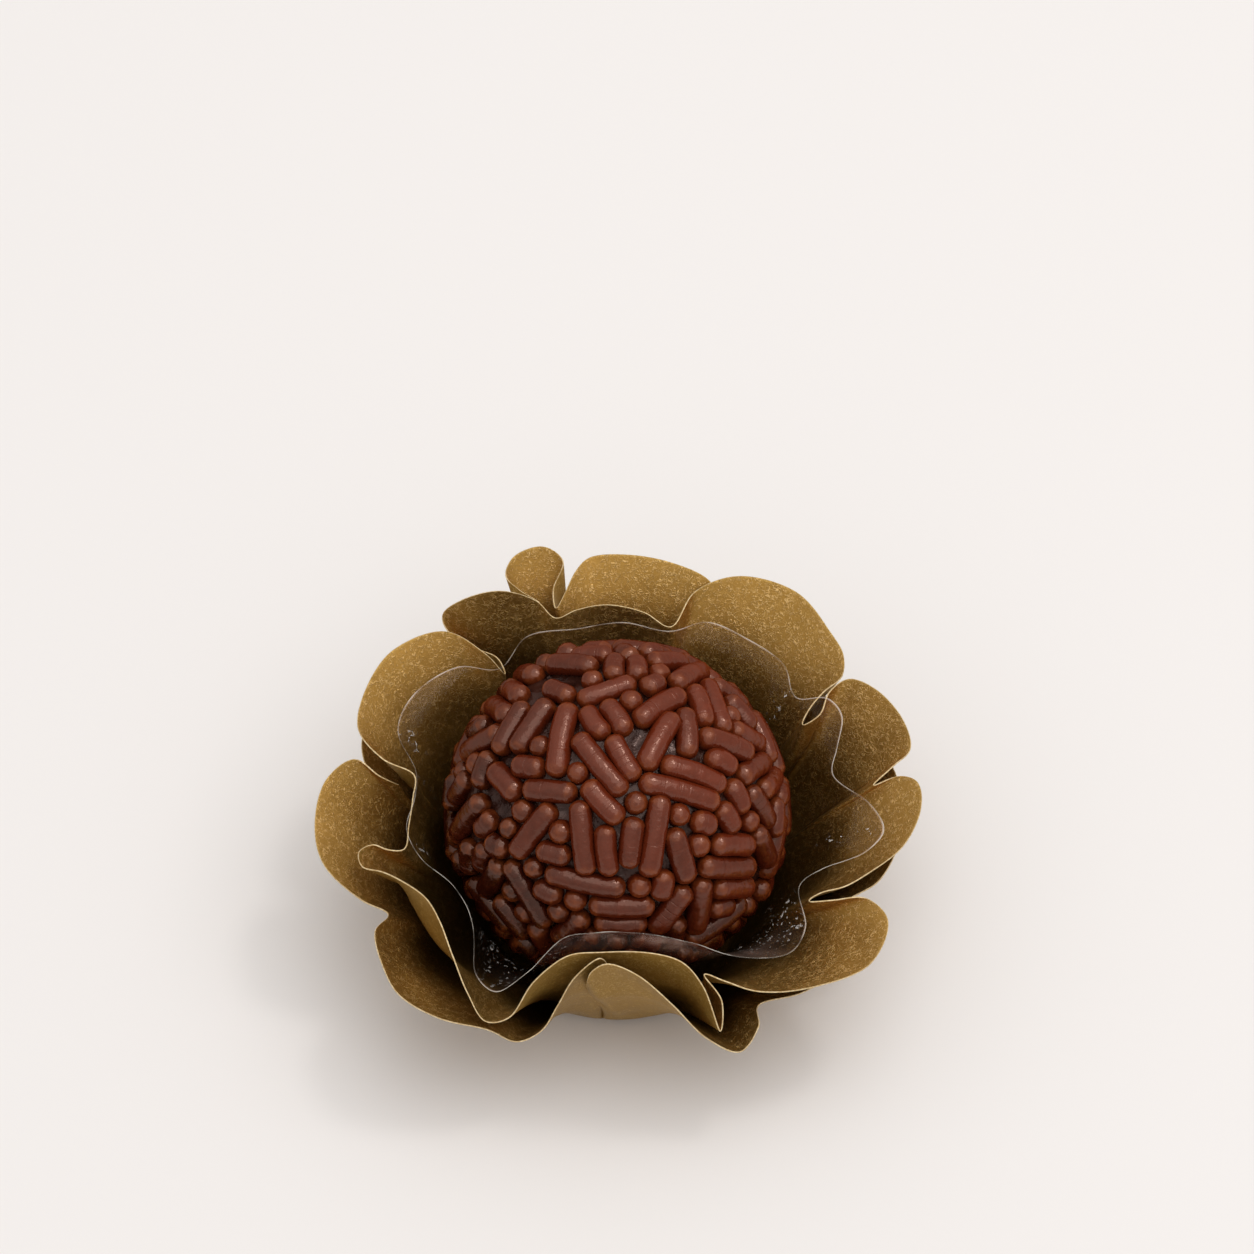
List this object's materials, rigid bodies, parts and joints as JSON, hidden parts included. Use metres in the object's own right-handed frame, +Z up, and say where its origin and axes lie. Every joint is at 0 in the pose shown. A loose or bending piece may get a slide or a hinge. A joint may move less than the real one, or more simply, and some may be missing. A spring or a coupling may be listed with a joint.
{
  "type": "brigadeiro",
  "caption": "Round chocolate sweet coated in rod sprinkles, sitting in a clear wavy-edged liner inside nested ruffled paper cups.",
  "frame": {"origin": "middle of the outer cup's flat underside, which rests on the table", "axes": "+Z up out of the cups, -Y towards the front, +X to the right of the front"},
  "size_m": [0.0524, 0.0477, 0.0306],
  "materials": {
    "outer_paper": "bronze metallic paper, satin",
    "inner_paper": "bronze metallic paper with a fine fibre grain, satin",
    "clear_film": "thin clear plastic film, glossy",
    "chocolate": "fudge coated in chocolate sprinkles, satin"
  },
  "bodies": {
    "root": {"outer_paper_cup": "outer_paper", "inner_paper_cup": "inner_paper", "clear_liner": "clear_film", "chocolate_ball": "chocolate"}
  },
  "joints": []
}
